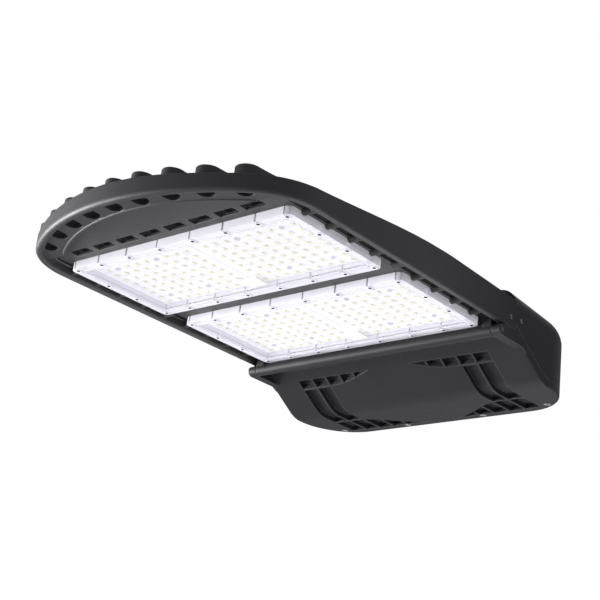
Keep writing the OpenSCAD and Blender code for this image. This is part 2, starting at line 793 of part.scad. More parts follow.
module driver_door() {
    placed() color(metal) {
        difference() {
            union() {
                // Tray with a rim up to the seam
                difference() {
                    intersection() {
                        door_layer(-5, door_rim_h);
                        door_form();
                    }
                    intersection() {
                        door_layer(door_t, bend_r - 1, 30);
                        translate([0, 0, -box_drop - 1])
                            linear_extrude(box_drop + 40) door_plan(wall_t);
                    }
                }
                // Thicker behind the recessed pattern
                intersection() {
                    door_layer(door_t - 0.5, door_t + pocket_d);
                    translate([0, 0, -box_drop - 1])
                        linear_extrude(box_drop + 20)
                            difference() {
                                translate([-pocket_half_w - door_t, pocket_front_y - door_t])
                                    square([2 * (pocket_half_w + door_t),
                                        pocket_rear_y - pocket_front_y + 2 * door_t]);
                                translate([-panel_half_w + door_t, front_wave_y + door_t])
                                    square([2 * (panel_half_w - door_t),
                                        rear_wave_y - front_wave_y - 2 * door_t]);
                            }
                }
                // Screw bosses
                intersection() {
                    for (p = door_screw_places)
                        translate([p[0], p[1], -box_drop + 1])
                            cylinder(d = door_screw_head_d + 4, h = door_rim_h - 1);
                    translate([0, 0, -box_drop - 1]) linear_extrude(30) plan(wall_t / 2);
                }
                // Arms that reach forward to the outer knuckles
                mirrored()
                    translate([knuckle_out_x, -hinge_y, hinge_z]) rotate([0, 90, 0])
                        cylinder(d = knuckle_d, h = knuckle_w);
                mirrored()
                    translate([knuckle_out_x, 0, 0]) rotate([90, 0, 90])
                        linear_extrude(knuckle_w)
                            polygon([
                                [-hinge_y, hinge_z - knuckle_d / 2 + 0.2],
                                [-hinge_y + 4, hinge_z - knuckle_d / 2],
                                [arm_foot_y, slope_z(arm_foot_y)],
                                [arm_foot_y + 8, slope_z(arm_foot_y + 8) + 1],
                                [-door_l + 1, arm_gap_z - seam],
                                [-door_l - arm_l + 2, arm_gap_z - seam],
                                [-door_l - arm_l + 1, -rim_drop - seam],
                                [-hinge_y, hinge_z + knuckle_d / 2 - 0.2]]);
            }
            // Recessed pattern
            intersection() {
                door_layer(-1, pocket_d);
                translate([0, 0, -box_drop - 1]) linear_extrude(box_drop + 20) pockets();
            }
            for (p = door_screw_places)
                translate([p[0], p[1], -box_drop - 1]) {
                    cylinder(d = door_screw_head_d + 0.4, h = 1 + seat_h);
                    cylinder(d = door_screw_d + 0.4, h = door_rim_h + 2);
                }
            // Groove for the gasket
            gasket_solid(door_rim_h - 1, door_rim_h + 2, 1.2);
            mirrored()
                translate([knuckle_out_x - 1, -hinge_y, hinge_z]) rotate([0, 90, 0])
                    cylinder(r = hinge_pin_d / 2 + pin_clear, h = knuckle_w + 2);
        }
    }
}

module gasket_solid(n0, n1, edge) {
    intersection() {
        door_layer(n0, n1);
        translate([0, 0, -box_drop - 1])
            linear_extrude(box_drop + 30)
                difference() {
                    door_plan(edge);
                    door_plan(edge + 1.6);
                    for (p = door_screw_places) translate(p) circle(d = door_screw_d + 3);
                }
    }
}

module door_gasket() {
    placed() color([0.16, 0.16, 0.17]) gasket_solid(door_rim_h - 1, door_rim_h + seam - 0.1, 1.2);
}

module door_screws() {
    placed() color(steel)
        for (p = door_screw_places)
            translate([p[0], p[1], -box_drop]) {
                difference() {
                    translate([0, 0, 0.4]) cylinder(d = door_screw_head_d, h = seat_h - 0.4);
                    translate([0, 0, -0.5]) cylinder(d = door_screw_head_d * 0.55, h = 2.4, $fn = 6);
                }
                translate([0, 0, seat_h - 0.2])
                    cylinder(d = door_screw_d, h = door_rim_h - seat_h + 0.2 + screw_grip);
            }
}

module hinge_pins() {
    placed() color(steel)
        mirrored()
            translate([lug_in_x + 2, -hinge_y, hinge_z]) rotate([0, 90, 0])
                cylinder(d = hinge_pin_d, h = 2 * knuckle_w + knuckle_gap - 2.2);
}

// Rounded rectangle from its centre
module pad(w, l, r) {
    x = w / 2 - r;
    y = l / 2 - r;
    polygon(concat(arc(x, y, r, 0, 90, 6), arc(-x, y, r, 90, 180, 6),
        arc(-x, -y, r, 180, 270, 6), arc(x, -y, r, 270, 360, 6)));
}

module lens() {
    field_w = lens_w - 2 * lens_flange;
    field_l = lens_l - 2 * lens_flange;
    color([0.85, 0.9, 0.95, 0.35])
        difference() {
            translate([0, lens_l / 2, -lens_h]) {
                linear_extrude(lens_h) pad(lens_w, lens_l, lens_corner_r);
            }
            // Board recess, open to the plate
            translate([0, lens_l / 2, -lens_h + lens_t])
                linear_extrude(lens_h) pad(field_w, field_l, 3);
            // Two moulded grooves round the field on the outside
            for (e = groove_edge)
                translate([0, lens_l / 2, -lens_h - 1])
                    linear_extrude(1 + groove_d)
                        difference() {
                            pad(field_w + 2 * e, field_l + 2 * e, 4);
                            pad(field_w + 2 * (e - groove_w), field_l + 2 * (e - groove_w), 3);
                        }
            // Gasket groove on the plate side
            translate([0, lens_l / 2, -gasket_t]) linear_extrude(gasket_t + 1) gasket_ring();
            cover_screw_grid() {
                translate([0, 0, -lens_h - 1]) {
                    cylinder(d = cover_screw_head_d + 0.4, h = 2.4, $fn = 24);
                    cylinder(d = cover_screw_d + 0.4, h = lens_h + 2, $fn = 24);
                }
            }
        }
}

module gasket_ring() {
    inner_w = lens_w - 2 * lens_flange + 0.8;
    inner_l = lens_l - 2 * lens_flange + 0.8;
    ring = min(gasket_w, lens_flange - cover_screw_edge - cover_screw_d / 2 - 0.9);
    difference() {
        pad(inner_w + 2 * ring, inner_l + 2 * ring, 4);
        pad(inner_w, inner_l, 3);
    }
}

module lens_gasket() {
    color([0.9, 0.9, 0.9])
        translate([0, lens_l / 2, -gasket_t]) linear_extrude(gasket_t) gasket_ring();
}

module lens_screws() {
    color(steel)
        cover_screw_grid() {
            translate([0, 0, -lens_h - 0.4])
                difference() {
                    cylinder(d = cover_screw_head_d, h = cover_head_h, $fn = 24);
                    translate([0, 0, -1]) cylinder(d = cover_screw_head_d * 0.45, h = 2, $fn = 6);
                }
            translate([0, 0, -lens_h + 1])
                cylinder(d = cover_screw_d, h = lens_h + cover_shank_end, $fn = 24);
        }
}

module half_board(side) {
    w = lens_w / 2 - lens_flange - board_margin - board_gap / 2;
    l = lens_l - 2 * (lens_flange + board_margin);
    color([0.93, 0.93, 0.92])
        difference() {
            translate([side > 0 ? board_gap / 2 : -board_gap / 2 - w,
                lens_flange + board_margin, -board_t])
                cube([w, l, board_t]);
            board_screw_grid()
                translate([0, 0, -board_t - 1])
                    cylinder(d = board_screw_d + 0.3, h = board_t + 2, $fn = 24);
            // Notch for the leads
            translate([0, socket_y, -board_t - 1])
                cylinder(d = duct_d, h = board_t + 2, $fn = 32);
        }
}

module leds() {
    color([0.93, 0.88, 0.45])
        for (sx = [-1, 1], i = [0:led_cols - 1], j = [0:led_rows - 1])
            if (!((i == 3 || i == 7) && (j == 1 || j == 7)))
                translate([sx * (led_centre_gap / 2 + i * led_pitch_x) - chip_w / 2,
                    lens_l / 2 + (j - 4) * led_pitch_y - chip_w / 2, -board_t - chip_h])
                    cube([chip_w, chip_w, chip_h]);
}

module module_board_screws() {
    color(steel)
        board_screw_grid() {
            translate([0, 0, -board_t - board_head_h])
                cylinder(d = board_head_d, h = board_head_h, $fn = 24);
            translate([0, 0, -board_t - 0.5])
                cylinder(d = board_screw_d, h = board_t + 0.5 + plate_t - 0.5, $fn = 24);
        }
}

module lead_socket() {
    color([0.9, 0.9, 0.9])
        translate([-socket_w / 2, lens_l - lens_flange - board_margin - socket_l, -board_t - socket_h])
            cube([socket_w, socket_l, socket_h]);
}

module front() { placed() translate([0, front_y, 0]) children(); }
module rear() { placed() translate([0, rear_y, 0]) children(); }

// Driver: a potted case with a screw flange at each end and a lead gland beside it
driver_top = tray_z - tray_t;

module driver() {
    placed() color([0.78, 0.78, 0.8])
        translate([0, tray_y, driver_top]) {
            rotate([90, 0, 90])
                translate([0, 0, -driver_w / 2])
                    linear_extrude(driver_w)
                        polygon([
                            [-driver_l / 2, 0], [-driver_l / 2, driver_chamfer - driver_h],
                            [driver_chamfer - driver_l / 2, -driver_h],
                            [driver_l / 2 - driver_chamfer, -driver_h],
                            [driver_l / 2, driver_chamfer - driver_h], [driver_l / 2, 0]]);
            mirrored() {
                difference() {
                    translate([driver_w / 2 - 1, -driver_l / 2, -flange_t])
                        cube([flange_w + 1, driver_l, flange_t]);
                    for (sy = [-1, 1])
                        translate([driver_w / 2 + flange_w / 2, sy * flange_screw_y, -flange_t - 1])
                            cylinder(d = tray_screw_d + 0.6, h = flange_t + 2, $fn = 24);
                }
                translate([driver_w / 2 - 1, 0, -driver_h / 2 - 2])
                    rotate([0, 90, 0]) cylinder(d = gland_d, h = gland_l, $fn = 32);
            }
        }
}

// Sheet tray with bent lips along its long edges
module driver_tray() {
    placed() color([0.8, 0.8, 0.82])
        difference() {
            translate([0, tray_y, tray_z]) {
                translate([-tray_w / 2, -tray_l / 2, -tray_t]) cube([tray_w, tray_l, tray_t]);
                for (sy = [-1, 1])
                    translate([-tray_w / 2 + 14, sy * (tray_l - tray_t) / 2 - tray_t / 2, -tray_lip])
                        cube([tray_w - 28, tray_t, tray_lip]);
            }
            for (p = tray_screw_places)
                translate([p[0], p[1], tray_z - tray_t - 1])
                    cylinder(d = tray_screw_d + 0.6, h = tray_t + 2, $fn = 24);
            for (sx = [-1, 1], sy = [-1, 1])
                translate([sx * (driver_w + flange_w) / 2, tray_y + sy * flange_screw_y,
                    tray_z - tray_t - 1])
                    cylinder(d = tray_screw_d + thread_play, h = tray_t + 2, $fn = 24);
        }
}

// Pan head screw, head below, shank upwards
module pan_screw(d, head_d, head_h, grip) {
    difference() {
        translate([0, 0, -head_h]) cylinder(d = head_d, h = head_h, $fn = 32);
        translate([0, 0, -head_h - 1]) cylinder(d = head_d * 0.45, h = 1 + head_h * 0.6, $fn = 6);
    }
    translate([0, 0, -head_h * 0.3]) cylinder(d = d, h = grip + head_h * 0.3, $fn = 24);
}

module driver_screws() {
    placed() color(steel)
        for (sx = [-1, 1], sy = [-1, 1])
            translate([sx * (driver_w + flange_w) / 2, tray_y + sy * flange_screw_y,
                driver_top - flange_t])
                pan_screw(tray_screw_d, 7.5, 2.4, flange_t + tray_t + 1.5);
}

module tray_screws() {
    placed() color(steel)
        for (p = tray_screw_places)
            translate([p[0], p[1], driver_top]) pan_screw(tray_screw_d, 7.5, 2.4, tray_t + 5);
}

module surge_protector() {
    placed() color([0.2, 0.25, 0.55])
        translate([beside_driver_x, tray_y - surge_l / 2, driver_top - surge_h]) {
            translate([0, 0, surge_lid]) cube([surge_w, surge_l, surge_h - surge_lid]);
            translate([surge_lid, surge_lid, 0])
                cube([surge_w - 2 * surge_lid, surge_l - 2 * surge_lid, 2 * surge_lid]);
            translate([surge_w / 2, surge_l - 1, surge_h / 2]) rotate([-90, 0, 0])
                cylinder(d = gland_d - 2, h = 4, $fn = 24);
        }
}

module terminal_block() {
    placed() color([0.93, 0.93, 0.9])
        translate([-beside_driver_x - block_w, tray_y - block_l / 2, driver_top - block_h])
            difference() {
                cube([block_w, block_l, block_h]);
                for (i = [0:2])
                    translate([block_w / 2, block_l * (i + 0.5) / 3, -1])
                        cylinder(d = 6, h = 7, $fn = 24);
                for (i = [0:2])
                    translate([-1, block_l * (i + 0.5) / 3, block_h / 2 + 1]) rotate([0, 90, 0])
                        cylinder(d = 5, h = 7, $fn = 24);
            }
}

module earth_screw() {
    placed() color([0.25, 0.55, 0.3])
        translate([earth_x, -wall_t - pad_t, -mount_drop])
            rotate([-90, 0, 0]) pan_screw(earth_d, 9.5, 3, pad_t - 1);
}

module wire_bush() {
    placed() color([0.1, 0.1, 0.1])
        translate([0, -0.3, -mount_drop]) rotate([90, 0, 0])
            difference() {
                union() {
                    cylinder(d = wire_entry_d, h = wall_t + pad_t);
                    translate([0, 0, wall_t + pad_t - 0.3])
                        cylinder(d = wire_entry_d + 6, h = bush_flange);
                }
                translate([0, 0, -1]) cylinder(d = wire_entry_d - 6, h = wall_t + pad_t + 4);
            }
}

module lead_grommet() {
    placed() color([0.1, 0.1, 0.1])
        translate([0, box_front_y + wall_t + grommet_flange, duct_z]) rotate([90, 0, 0])
            difference() {
                union() {
                    cylinder(d = duct_d + 6, h = grommet_flange, $fn = 32);
                    cylinder(d = duct_d, h = grommet_flange + wall_t, $fn = 32);
                }
                translate([0, 0, -1]) cylinder(d = duct_d - 3, h = wall_t + 4, $fn = 32);
            }
}

module side_screws() {
    placed() color(steel)
        mirrored()
            for (q = side_screw_places)
                translate([half_w - wall_t - 6, q[0], q[1]]) rotate([0, 90, 0])
                    difference() {
                        cylinder(d = side_screw_d, h = wall_t + 5.3, $fn = 24);
                        translate([0, 0, wall_t + 3.3]) cylinder(d = side_screw_socket, h = 3, $fn = 6);
                    }
}

module front_lens() { front() lens(); }
module rear_lens() { rear() lens(); }
module front_lens_gasket() { front() lens_gasket(); }
module rear_lens_gasket() { rear() lens_gasket(); }
module front_lens_screws() { front() lens_screws(); }
module rear_lens_screws() { rear() lens_screws(); }
module front_left_board() { front() half_board(-1); }
module front_right_board() { front() half_board(1); }
module rear_left_board() { rear() half_board(-1); }
module rear_right_board() { rear() half_board(1); }
module front_leds() { front() leds(); }
module rear_leds() { rear() leds(); }

module board_screws() {
    front() module_board_screws();
    rear() module_board_screws();
}

module lead_sockets() {
    front() lead_socket();
    rear() lead_socket();
}

housing();
driver_door();
hinge_pins();
door_gasket();
door_screws();
front_lens();
rear_lens();
front_lens_gasket();
rear_lens_gasket();
front_lens_screws();
rear_lens_screws();
front_left_board();
front_right_board();
rear_left_board();
rear_right_board();
front_leds();
rear_leds();
board_screws();
lead_sockets();
driver();
driver_tray();
driver_screws();
tray_screws();
surge_protector();
terminal_block();
earth_screw();
wire_bush();
lead_grommet();
side_screws();
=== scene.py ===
"""Looks of the area light head, seen from below as in the photograph: the cast body and its door get a
powder coat, the LED modules get their moulded optics, and the whole hangs over a pale studio floor."""

import math

import bpy
from mathutils import Matrix, Vector


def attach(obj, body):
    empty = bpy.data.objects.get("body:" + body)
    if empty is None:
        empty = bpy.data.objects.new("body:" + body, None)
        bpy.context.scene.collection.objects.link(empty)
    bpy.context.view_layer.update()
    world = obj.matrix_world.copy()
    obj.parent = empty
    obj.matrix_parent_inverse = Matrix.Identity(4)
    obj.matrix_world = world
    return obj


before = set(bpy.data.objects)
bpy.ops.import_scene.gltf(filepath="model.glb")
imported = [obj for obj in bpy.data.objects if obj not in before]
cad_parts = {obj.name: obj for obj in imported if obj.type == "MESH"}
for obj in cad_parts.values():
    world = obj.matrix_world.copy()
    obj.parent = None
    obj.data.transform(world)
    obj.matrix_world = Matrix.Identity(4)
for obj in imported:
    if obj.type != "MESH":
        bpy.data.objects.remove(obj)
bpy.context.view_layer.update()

# Places and sizes are in mm on the part, which has its origin in the middle of the mounting face
MM = 0.001
PLATE_Z = 14.0          # underside of the heat-sink plate
FRONT_Y = -450.0        # front edge of the first cover
MODULE_PITCH = 160.6    # from the first module to the second
LENS_W = 286.0
LENS_L = 132.9
MODULES_MIDDLE_Y = FRONT_Y + LENS_L / 2 + MODULE_PITCH / 2

# LEDs of a module: two fields beside its middle, without the places that the board screws take
LED_COUNT_X = 9
LED_COUNT_Y = 9
LED_PITCH_X = 13.55
LED_PITCH_Y = 12.16
LED_CENTRE_GAP = 24.8   # between the two fields' inner columns
BOARD_SCREW_COLUMNS = (3, 7)
BOARD_SCREW_ROWS = (1, 7)

# Dome over each LED, with shares of its radius and height from foot to top
DOME_R = 4.6
DOME_H = 3.1
DOME_FOOT_Z = PLATE_Z - 1.75
DOME_PROFILE = [(1.0, 0.0), (0.97, 0.28), (0.86, 0.58), (0.66, 0.82), (0.38, 0.96), (0.0, 1.0)]
DOME_SIDES = 14

# Yellow cap of each LED, as wide as the dome magnifies it, with a slightly smaller lower face
CAP_R = 2.5
CAP_LOWER_SHARE = 0.8
CAP_H = 0.35
CAP_Z = PLATE_Z - 2.4
CAP_SIDES = 10

# Clear covers: a milky border round the field, with painted shade along fine moulded lines in it
BORDER_W = 10.0
BORDER_FADE = 1.0
BORDER_ALPHA = 0.62
FIELD_ALPHA = 0.20
COVER_BORDER = 20.0     # reach of the line pattern from the cover's edge
GROOVE_SHADE_LINES = [(1.6, 0.30), (4.6, 0.22), (7.6, 0.45), (9.6, 0.55)]  # place and darkness of each
LINE_W = 0.45           # half the width of a line with its soft sides
GROOVE_SHADE_TONE = (0.16, 0.16, 0.20)
COVER_TONE = (0.90, 0.89, 0.96)
SHANK_TONE = (0.10, 0.10, 0.12)
SHANK_W = 1.1           # half the width of a screw shank with its soft sides
EDGE_GLOW = 0.28        # light that the clear side walls give off
CLEAR_GLOSS = 0.6

# Cover screws: those along the front and rear edges, by distance from the middle, and one at the side
SCREW_X = [21.4, 63.0, 102.5, 136.5]
SCREW_EDGE = 5.0        # from the cover's edge
SIDE_SCREW_Y = 19.6     # from the cover's middle
# Painted shade in the drive recess: radius of the dark centre
SCREW_RECESS_SHADE_R = 1.9      # dark drive recess

# Powder coat: cloudy between two tones, with painted shade towards the driver compartment and on
# undersides above the plate, and painted highlights at thin edges
COAT_DARK = (0.021, 0.020, 0.023)
COAT_LIGHT = (0.029, 0.027, 0.031)
COAT_ROUND = 1.2        # rounding of its edges
COAT_GLOSS = 0.4
SHADE_TONE = (0.003, 0.003, 0.003)
SHADE_Z = PLATE_Z + 1.5
# Painted shade: the coat darkens towards the driver compartment and loses some gloss there
REAR_SHADE_TONE = (0.006, 0.006, 0.007)
REAR_SHADE_FROM = -250.0      # the tone changes between these two places along the body
REAR_SHADE_TO = -125.0
REAR_SHADE_SHARE = 0.5
REAR_SHADE_GLOSS_LOSS = 0.27
# Painted highlight: thin edges of the coat are lightened as if they caught the light
EDGE_HIGHLIGHT_TONE = (0.22, 0.215, 0.23)
EDGE_HIGHLIGHT_REACH = 0.7        # share of the rounding that turns light
EDGE_HIGHLIGHT_GAIN = 2.5
EDGE_HIGHLIGHT_SHARE = 0.45

# A face's direction, by its normal: downwards, along the body, and level enough to be a side wall
FACES_DOWN = -0.9
FACES_ALONG = 0.7
FACES_LEVEL = 0.5

# Stage and camera, in metres; the camera is solved from the photograph
FLOOR_Z = -1.3
FLOOR_HALF = 6.0
FLOOR_LIFT = 0.45       # brightens the floor for the camera alone, so that it stays pale
FLOOR_TONE = (0.86, 0.86, 0.86)
BACKGROUND = 1.0
AMBIENT = 0.45
AMBIENT_TONE = (0.95, 0.96, 1.0)
MIDDLE = (0, -0.25, 0)
CAM_PLACE = (0.9019, -1.2460, -0.4985)
CAM_RIGHT = (0.7582, 0.6430, 0.1080)
CAM_UP = (0.1583, -0.3422, 0.9262)
CAM_FORWARD = (-0.6325, 0.6852, 0.3612)
PHOTO_PX = 600
FOCAL_PX = 1411.185
SENSOR_MM = 36


# Shader nodes
def new_material(name):
    m = bpy.data.materials.new(name)
    m.use_nodes = True
    nt = m.node_tree
    nt.nodes.clear()
    out = nt.nodes.new("ShaderNodeOutputMaterial")
    shader = nt.nodes.new("ShaderNodeBsdfPrincipled")
    nt.links.new(shader.outputs["BSDF"], out.inputs["Surface"])
    return m, nt, shader


def place_on_part(nt):
    return nt.nodes.new("ShaderNodeTexCoord").outputs["Object"]


def face_normal(nt):
    return nt.nodes.new("ShaderNodeNewGeometry").outputs["Normal"]


def split(nt, vector):
    """X, Y and Z of a vector."""
    n = nt.nodes.new("ShaderNodeSeparateXYZ")
    nt.links.new(vector, n.inputs[0])
    return n.outputs["X"], n.outputs["Y"], n.outputs["Z"]


def noise(nt, vector, scale, detail=3.0, rough=0.55):
    n = nt.nodes.new("ShaderNodeTexNoise")
    n.inputs["Scale"].default_value = scale
    n.inputs["Detail"].default_value = detail
    n.inputs["Roughness"].default_value = rough
    nt.links.new(vector, n.inputs["Vector"])
    return n.outputs["Fac"]


def ramp(nt, fac, stops):
    """Colour by fac, from stops of a place and a colour, in order of place."""
    r = nt.nodes.new("ShaderNodeValToRGB")
    e = r.color_ramp.elements
    for element, (place, colour) in zip(e, (stops[0], stops[-1])):
        element.position = place
        element.color = (*colour, 1)
    for place, colour in stops[1:-1]:
        e.new(place).color = (*colour, 1)
    nt.links.new(fac, r.inputs["Fac"])
    return r.outputs["Color"]


def cloudy(nt, fac, low, high):
    """Colour that noise varies between two near ones."""
    return ramp(nt, fac, [(0.3, low), (0.7, high)])


def dimmed(colour, share):
    return tuple(c * share for c in colour)


def line_stops(lines, half, core, reach, ground):
    """Ramp stops for soft lines on a ground colour; half widths and places are in mm of the reach."""
    stops = [(0.0, ground)]
    for place, colour in lines:
        for off, c in ((-half, ground), (-core, colour), (core, colour), (half, ground)):
            stops.append(((place + off) / reach, c))
    stops.append((1.0, ground))
    return stops


def to_range(nt, value, low, high, start=0.0, end=1.0):
    """Spreads what lies between start and end over low to high."""
    r = nt.nodes.new("ShaderNodeMapRange")
    r.inputs["From Min"].default_value = start
    r.inputs["From Max"].default_value = end
    r.inputs["To Min"].default_value = low
    r.inputs["To Max"].default_value = high
    nt.links.new(value, r.inputs["Value"])
    return r.outputs["Result"]


def calc(nt, op, a, b=None):
    """One math node; a and b are sockets or numbers."""
    n = nt.nodes.new("ShaderNodeMath")
    n.operation = op
    for socket, value in zip(n.inputs, (a, b)):
        if value is None:
            continue
        if isinstance(value, (int, float)):
            socket.default_value = value
        else:
            nt.links.new(value, socket)
    return n.outputs[0]


def apart(nt, a, b):
    """How far a is from b along one axis."""
    return calc(nt, "ABSOLUTE", calc(nt, "SUBTRACT", a, b))


def mix_colour(nt, fac, a, b):
    """Colour a where fac is 0, colour b where it is 1; a and b are sockets or colours."""
    n = nt.nodes.new("ShaderNodeMix")
    n.data_type = "RGBA"
    nt.links.new(fac, n.inputs["Factor"])
    for socket, value in ((n.inputs[6], a), (n.inputs[7], b)):
        if isinstance(value, tuple):
            socket.default_value = (*value, 1)
        else:
            nt.links.new(value, socket)
    return n.outputs[2]


def bevel(nt, radius, samples=4):
    b = nt.nodes.new("ShaderNodeBevel")
    b.samples = samples
    b.inputs["Radius"].default_value = radius
    return b.outputs["Normal"]


def bump(nt, height, strength, distance, normal):
    b = nt.nodes.new("ShaderNodeBump")
    b.inputs["Strength"].default_value = strength
    b.inputs["Distance"].default_value = distance
    nt.links.new(height, b.inputs["Height"])
    nt.links.new(normal, b.inputs["Normal"])
    return b.outputs["Normal"]


def from_module_middle(nt):
    """How far a point lies from the middle of its module across and along the body, in mm."""
    x, y, _ = split(nt, place_on_part(nt))
    across = calc(nt, "MULTIPLY", calc(nt, "ABSOLUTE", x), 1 / MM)
    along = apart(nt, calc(nt, "MULTIPLY", y, 1 / MM), MODULES_MIDDLE_Y)
    return across, apart(nt, along, MODULE_PITCH / 2)


# Materials
def powder_coat(name, dark, light, edge):
    """Near-black satin powder coat: fine orange peel, slight cloudiness and softly rounded edges, with
    painted shade and painted highlights.
    """
    m, nt, sh = new_material(name)
    v = place_on_part(nt)
    normal = face_normal(nt)
    _, y, z = split(nt, v)
    _, _, facing_up = split(nt, normal)
    body = cloudy(nt, noise(nt, v, scale=9, detail=4), dark, light)

    # The undersides above the plate lie in the slots' shade
    shade = calc(nt, "MULTIPLY", calc(nt, "LESS_THAN", facing_up, FACES_DOWN),
                 calc(nt, "GREATER_THAN", z, SHADE_Z * MM))
    body = mix_colour(nt, shade, body, SHADE_TONE)

    # Painted shade: the coat is darkened over the driver compartment and left lighter at the tip
    rear_shade = to_range(nt, y, 0, 1, start=REAR_SHADE_FROM * MM, end=REAR_SHADE_TO * MM)
    body = mix_colour(nt, calc(nt, "MULTIPLY", rear_shade, REAR_SHADE_SHARE), body, REAR_SHADE_TONE)

    # Painted highlight: thin edges are lightened where they would catch the light
    dot = nt.nodes.new("ShaderNodeVectorMath")
    dot.operation = "DOT_PRODUCT"
    nt.links.new(bevel(nt, edge * EDGE_HIGHLIGHT_REACH, samples=6), dot.inputs[0])
    nt.links.new(normal, dot.inputs[1])
    turn = calc(nt, "MULTIPLY", calc(nt, "SUBTRACT", 1, dot.outputs["Value"]), EDGE_HIGHLIGHT_GAIN)
    turn = calc(nt, "MINIMUM", turn, EDGE_HIGHLIGHT_SHARE)
    nt.links.new(mix_colour(nt, turn, body, EDGE_HIGHLIGHT_TONE), sh.inputs["Base Color"])

    gloss = calc(nt, "MULTIPLY", calc(nt, "SUBTRACT", 1, shade), COAT_GLOSS)
    gloss = calc(nt, "SUBTRACT", gloss, calc(nt, "MULTIPLY", rear_shade, REAR_SHADE_GLOSS_LOSS))
    nt.links.new(calc(nt, "MAXIMUM", gloss, 0.0), sh.inputs["Specular IOR Level"])
    rough = to_range(nt, noise(nt, v, scale=60), low=0.42, high=0.56)
    nt.links.new(rough, sh.inputs["Roughness"])
    peel = noise(nt, v, scale=1600, detail=2, rough=0.6)
    nt.links.new(bump(nt, peel, strength=0.25, distance=0.00012, normal=bevel(nt, edge)),
                 sh.inputs["Normal"])
    return m


def metal(name, colour, rough, scratch=400):
    m, nt, sh = new_material(name)
    n = noise(nt, place_on_part(nt), scratch)
    nt.links.new(cloudy(nt, n, dimmed(colour, 0.8), colour), sh.inputs["Base Color"])
    nt.links.new(to_range(nt, n, rough * 0.8, rough * 1.3), sh.inputs["Roughness"])
    nt.links.new(bump(nt, n, strength=0.1, distance=0.0001, normal=bevel(nt, 0.0004)),
                 sh.inputs["Normal"])
    sh.inputs["Metallic"].default_value = 1.0
    return m


def plastic(name, colour, rough, vary=0.06):
    m, nt, sh = new_material(name)
    v = place_on_part(nt)
    n = noise(nt, v, scale=40)
    nt.links.new(cloudy(nt, n, dimmed(colour, 1 - vary), colour), sh.inputs["Base Color"])
    nt.links.new(to_range(nt, n, rough * 0.85, rough * 1.15), sh.inputs["Roughness"])
    peel = noise(nt, v, scale=900, detail=2)
    nt.links.new(bump(nt, peel, strength=0.1, distance=0.0001, normal=bevel(nt, 0.0003)),
                 sh.inputs["Normal"])
    return m


def screw_heads(name, rim, centre):
    """Small recessed screws: a bright washer rim and painted shade in the drive recess."""
    m, nt, sh = new_material(name)
    across, along = from_module_middle(nt)
    reach = None
    places = [(x, LENS_L / 2 - SCREW_EDGE) for x in SCREW_X]
    places.append((LENS_W / 2 - SCREW_EDGE, SIDE_SCREW_Y))
    for x, y in places:
        dx = calc(nt, "POWER", apart(nt, across, x), 2)
        dy = calc(nt, "POWER", apart(nt, along, y), 2)
        d = calc(nt, "SQRT", calc(nt, "ADD", dx, dy))
        reach = d if reach is None else calc(nt, "MINIMUM", reach, d)
    # Painted shade: the drive recess is coloured near-black
    dark = calc(nt, "LESS_THAN", reach, SCREW_RECESS_SHADE_R)
    n = noise(nt, place_on_part(nt), scale=300, detail=2)
    bright = cloudy(nt, n, dimmed(rim, 0.9), rim)
    nt.links.new(mix_colour(nt, dark, bright, centre), sh.inputs["Base Color"])
    nt.links.new(to_range(nt, n, low=0.4, high=0.55), sh.inputs["Roughness"])
    return m


def moulded_gloss(nt, sh, v):
    """The faint ripple and the gloss of moulded polycarbonate."""
    ripple = noise(nt, v, scale=700, detail=2)
    nt.links.new(bump(nt, ripple, strength=0.05, distance=0.0001, normal=bevel(nt, 0.0006)),
                 sh.inputs["Normal"])
    sh.inputs["Specular IOR Level"].default_value = CLEAR_GLOSS


def clear(name, tint, alpha, rough):
    """Clear polycarbonate: mostly see-through, with a thin milky body and a clean gloss."""
    m, nt, sh = new_material(name)
    v = place_on_part(nt)
    n = noise(nt, v, scale=30, detail=2)
    nt.links.new(cloudy(nt, n, dimmed(tint, 0.96), tint), sh.inputs["Base Color"])
    nt.links.new(to_range(nt, n, rough * 0.8, rough * 1.3), sh.inputs["Roughness"])
    sh.inputs["Alpha"].default_value = alpha
    moulded_gloss(nt, sh, v)
    return m


